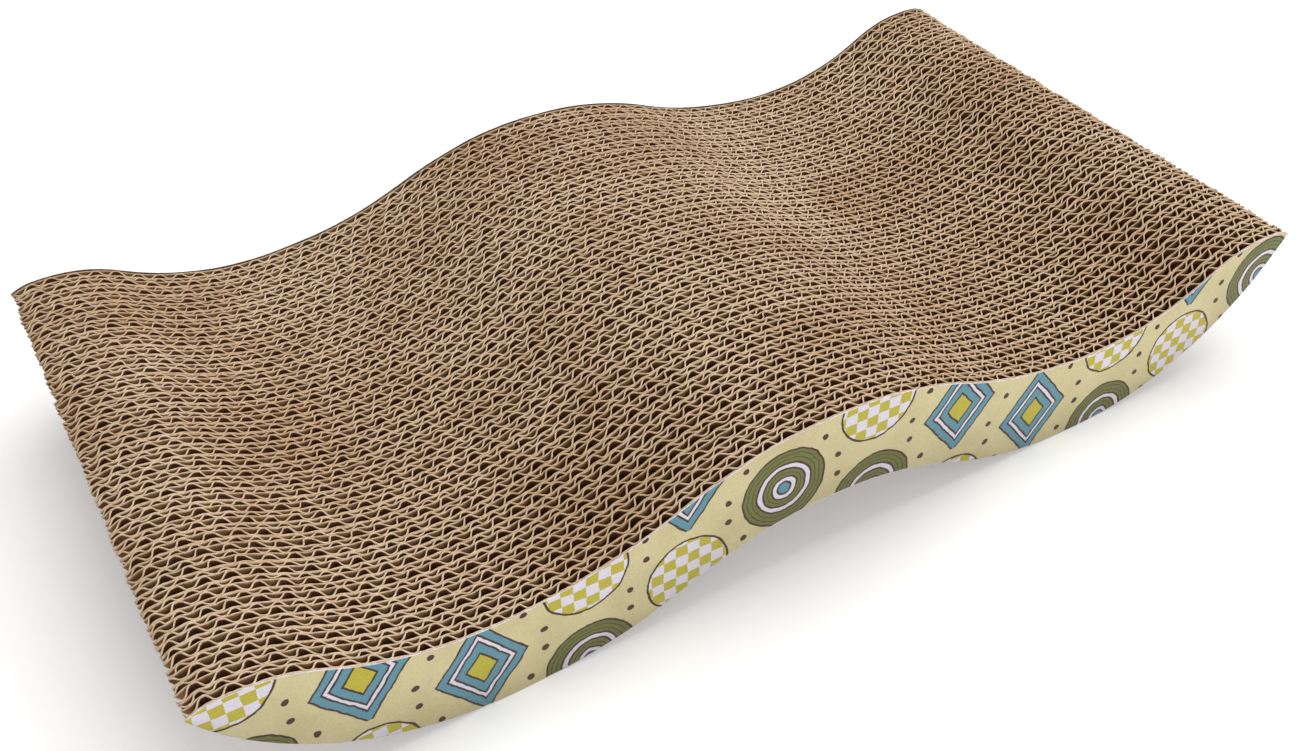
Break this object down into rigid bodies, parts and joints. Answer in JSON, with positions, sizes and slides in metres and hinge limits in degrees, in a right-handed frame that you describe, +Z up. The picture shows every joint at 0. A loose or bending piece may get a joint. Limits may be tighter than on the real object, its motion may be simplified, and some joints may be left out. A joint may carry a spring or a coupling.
{
  "type": "cardboard cat scratcher",
  "caption": "Wave-shaped cardboard cat scratcher: corrugated strips on edge, glued face to face between two printed paper sides, with a middle crest, two valleys and curled ends.",
  "frame": {"origin": "on the floor under the middle of the scratcher", "axes": "+X along the wave, +Y from the front printed side to the back one, +Z up"},
  "size_m": [0.44, 0.2258, 0.0633],
  "materials": {
    "kraft_board": "matte",
    "printed_paper": "matte"
  },
  "bodies": {
    "root": {"strip_01": "kraft_board", "strip_02": "kraft_board", "strip_03": "kraft_board", "strip_04": "kraft_board", "strip_05": "kraft_board", "strip_06": "kraft_board", "strip_07": "kraft_board", "strip_08": "kraft_board", "strip_09": "kraft_board", "strip_10": "kraft_board", "strip_11": "kraft_board", "strip_12": "kraft_board", "strip_13": "kraft_board", "strip_14": "kraft_board", "strip_15": "kraft_board", "strip_16": "kraft_board", "strip_17": "kraft_board", "strip_18": "kraft_board", "strip_19": "kraft_board", "strip_20": "kraft_board", "strip_21": "kraft_board", "strip_22": "kraft_board", "strip_23": "kraft_board", "strip_24": "kraft_board", "strip_25": "kraft_board", "strip_26": "kraft_board", "strip_27": "kraft_board", "strip_28": "kraft_board", "strip_29": "kraft_board", "strip_30": "kraft_board", "strip_31": "kraft_board", "strip_32": "kraft_board", "strip_33": "kraft_board", "strip_34": "kraft_board", "strip_35": "kraft_board", "strip_36": "kraft_board", "closing_strip": "kraft_board", "front_side_sheet": "printed_paper", "back_side_sheet": "printed_paper"}
  },
  "joints": []
}
